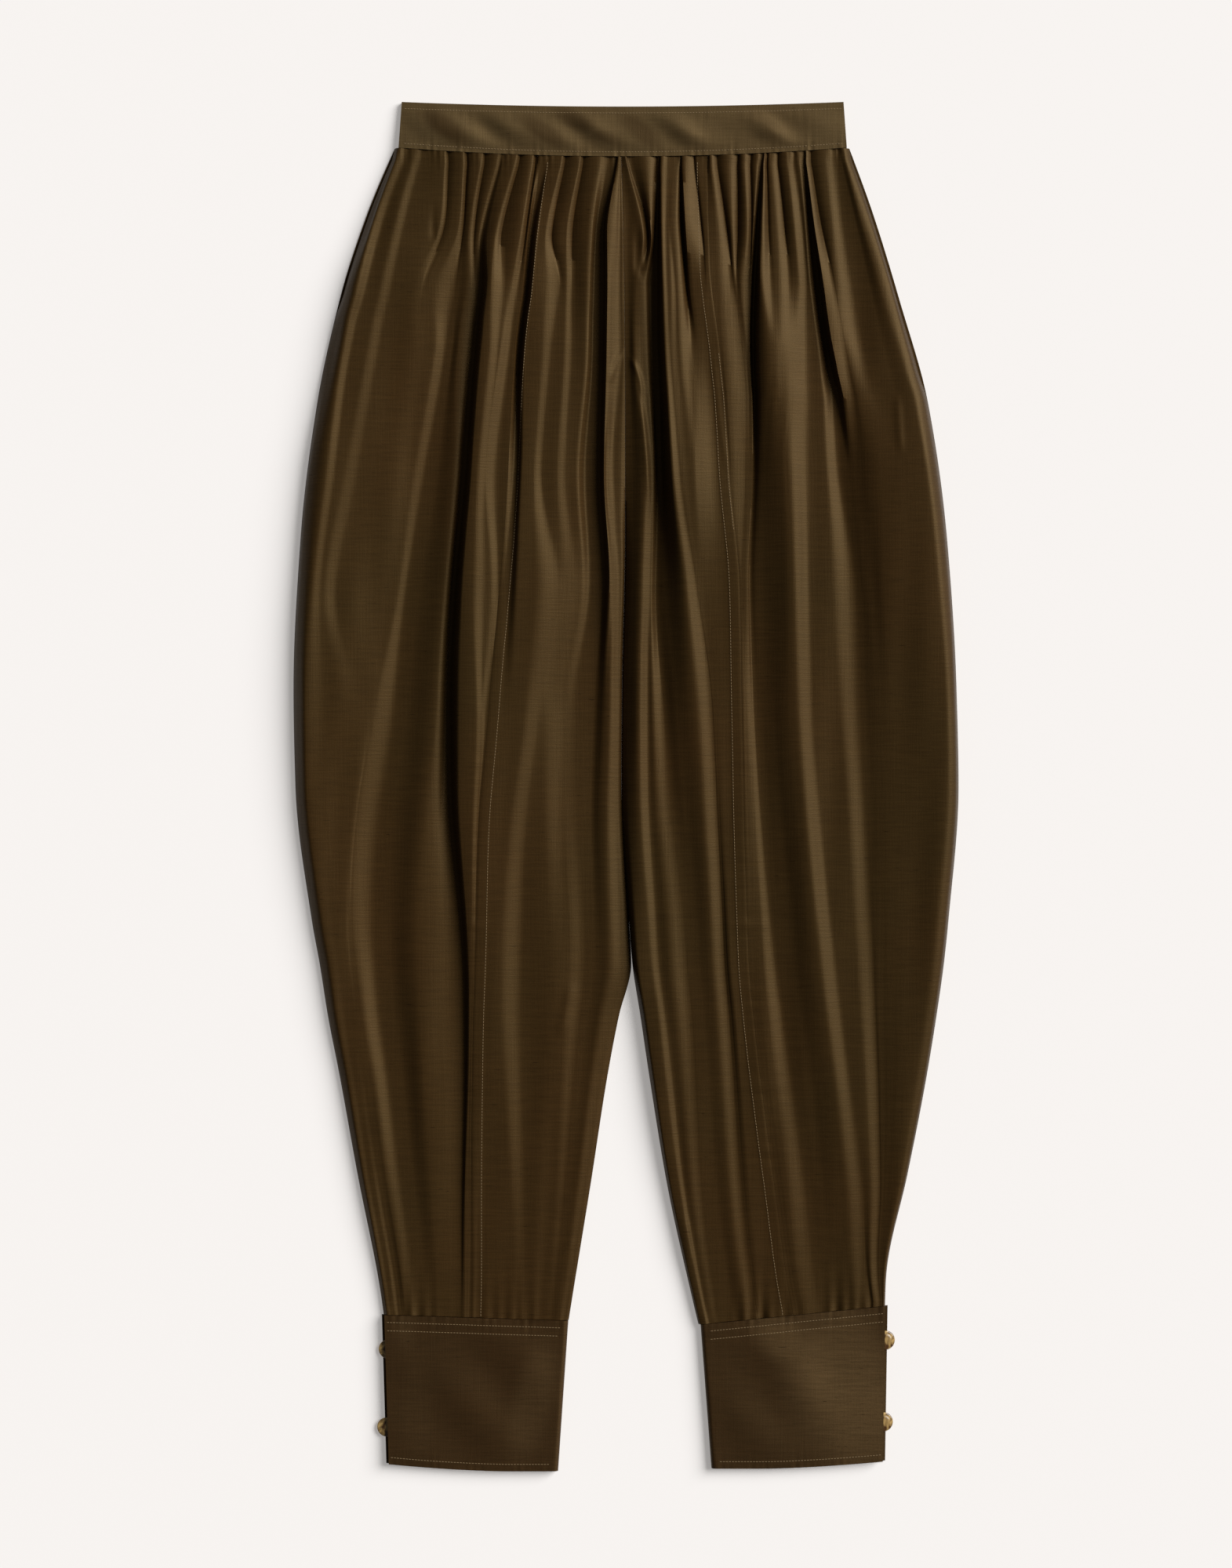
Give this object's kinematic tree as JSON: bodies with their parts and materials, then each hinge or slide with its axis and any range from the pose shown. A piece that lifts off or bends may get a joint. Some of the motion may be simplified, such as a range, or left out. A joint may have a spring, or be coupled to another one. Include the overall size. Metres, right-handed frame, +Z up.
{
  "type": "harem pants",
  "caption": "Full-cut silk harem pants laid flat, with a pleated waist sewn to a straight waistband, panel seams and tapered legs gathered into buttoned cuffs",
  "frame": {"origin": "middle of the laid garment's outline, on the surface it lies on", "axes": "+X across the garment, +Y from the cuffs towards the waistband, +Z up from the surface"},
  "size_m": [0.5211, 1.0722, 0.022],
  "materials": {
    "silk": "dark olive-brown shot silk with a slubbed weave and a soft sheen",
    "thread": "tan topstitching thread",
    "button_horn": "marbled brown and gold, polished"
  },
  "bodies": {
    "root": {"waistband_front": "silk", "waistband_back": "silk", "front_outer_left": "silk", "front_inner_left": "silk", "front_inner_right": "silk", "front_outer_right": "silk", "back_left": "silk", "back_right": "silk", "cuff_left": "silk", "cuff_right": "silk", "button_left_upper": "button_horn", "button_left_lower": "button_horn", "button_right_upper": "button_horn", "button_right_lower": "button_horn"}
  },
  "joints": []
}
